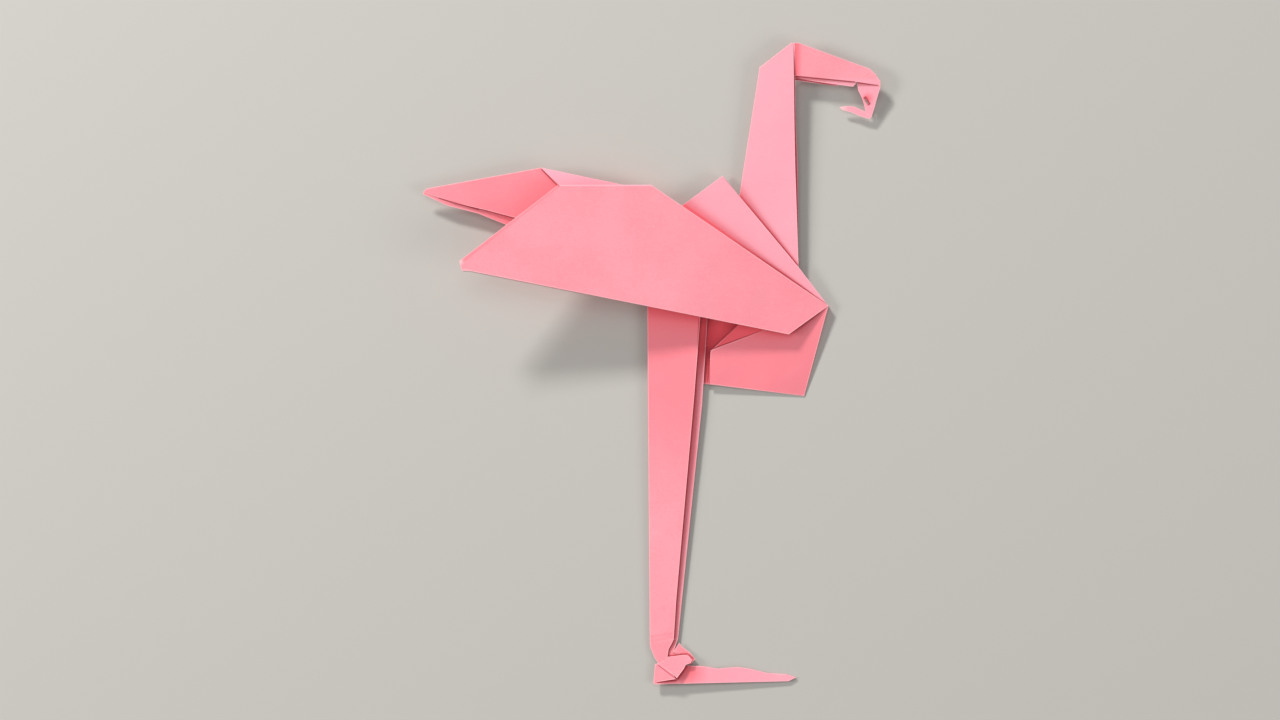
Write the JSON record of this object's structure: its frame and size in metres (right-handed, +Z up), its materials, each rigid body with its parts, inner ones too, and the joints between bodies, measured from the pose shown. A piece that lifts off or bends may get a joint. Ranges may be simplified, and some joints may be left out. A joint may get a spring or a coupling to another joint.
{
  "type": "origami flamingo",
  "caption": "Flamingo folded from a single sheet of thin paper, lying on its side, with a hooked neck and beak, pointed wings, a tail, and a long leg that ends in a foot.",
  "frame": {"origin": "middle of the part's footprint, on the table that it lies on", "axes": "+Z up out of the table, +Y from the foot towards the head, +X the way the toe points"},
  "size_m": [0.0994, 0.1394, 0.0122],
  "materials": {
    "paper": "matt, faintly fibrous"
  },
  "bodies": {
    "root": {"folded_sheet": "paper"}
  },
  "joints": []
}
